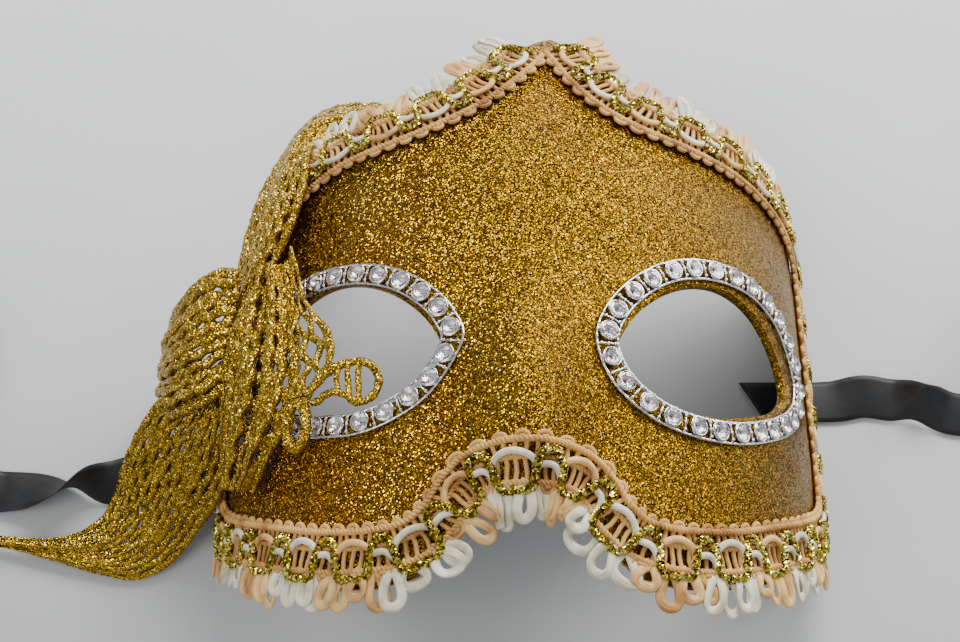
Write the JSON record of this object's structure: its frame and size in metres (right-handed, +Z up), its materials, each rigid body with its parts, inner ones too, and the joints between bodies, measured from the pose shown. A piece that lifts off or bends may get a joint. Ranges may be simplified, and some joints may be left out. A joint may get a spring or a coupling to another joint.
{
  "type": "masquerade mask",
  "caption": "Venetian half mask with a pointed brow, gold glitter face, stone banded eye holes, braided fringe, a lace bow at one temple and ribbon ties.",
  "frame": {"origin": "on the table plane, on the mask's centre line, midway between the side edges; 10 mm above the middle of the eye holes along +Y", "axes": "+Z up, the way the face looks (the mask lies face up); +Y from the nose to the pointed brow; +X to the right in the picture's view, away from the bow"},
  "size_m": [0.41, 0.158, 0.0792],
  "materials": {
    "shell": "moulded, plain, dark inside",
    "glitter": "gold glitter flakes in clear glue",
    "banding": "silver metallised plastic cups and rails",
    "stones": "clear faceted acrylic, silver backed",
    "heading": "woven apricot yarn",
    "metal_cord": "twisted metallised gold-green cord",
    "peach_satin": "satin yarn, peach",
    "ivory_satin": "satin yarn, ivory",
    "lace": "openwork lace covered in gold glitter",
    "glue": "set hot glue",
    "ribbon": "black satin ribbon"
  },
  "bodies": {
    "mask": {"mask_shell": "shell", "glitter_cover": "glitter", "left_eye_banding": "banding", "right_eye_banding": "banding", "left_eye_gems": "stones", "right_eye_gems": "stones", "braid_header": "heading", "braid_metal_cord": "metal_cord", "braid_peach_yarn": "peach_satin", "braid_ivory_yarn": "ivory_satin", "fringe_peach_loops": "peach_satin", "fringe_ivory_loops": "ivory_satin", "bow_upper_loop": "lace", "bow_back_loop": "lace", "bow_tail": "lace", "bow_front_fold": "lace", "bow_small_loop": "lace", "bow_eye_scallop": "lace", "bow_hanging_loop": "lace", "bow_center_wrap": "lace", "bow_glue_pad": "glue", "left_tie_glue": "glue", "right_tie_glue": "glue", "left_tie_tab": "ribbon", "right_tie_tab": "ribbon"},
    "left_tie": {"left_tie_ribbon": "ribbon", "left_tie_coil": "ribbon"},
    "right_tie": {"right_tie_ribbon": "ribbon", "right_tie_coil": "ribbon"}
  },
  "joints": [
    {"name": "left_tie_flex", "type": "hinge", "parent": "mask", "child": "left_tie", "pos_m": [-0.089, -0.022, 0], "axis": [0, 0, 1], "range_deg": [-35, 2]},
    {"name": "right_tie_flex", "type": "hinge", "parent": "mask", "child": "right_tie", "pos_m": [0.089, -0.001, 0], "axis": [0, 0, 1], "range_deg": [-30, 35]}
  ]
}
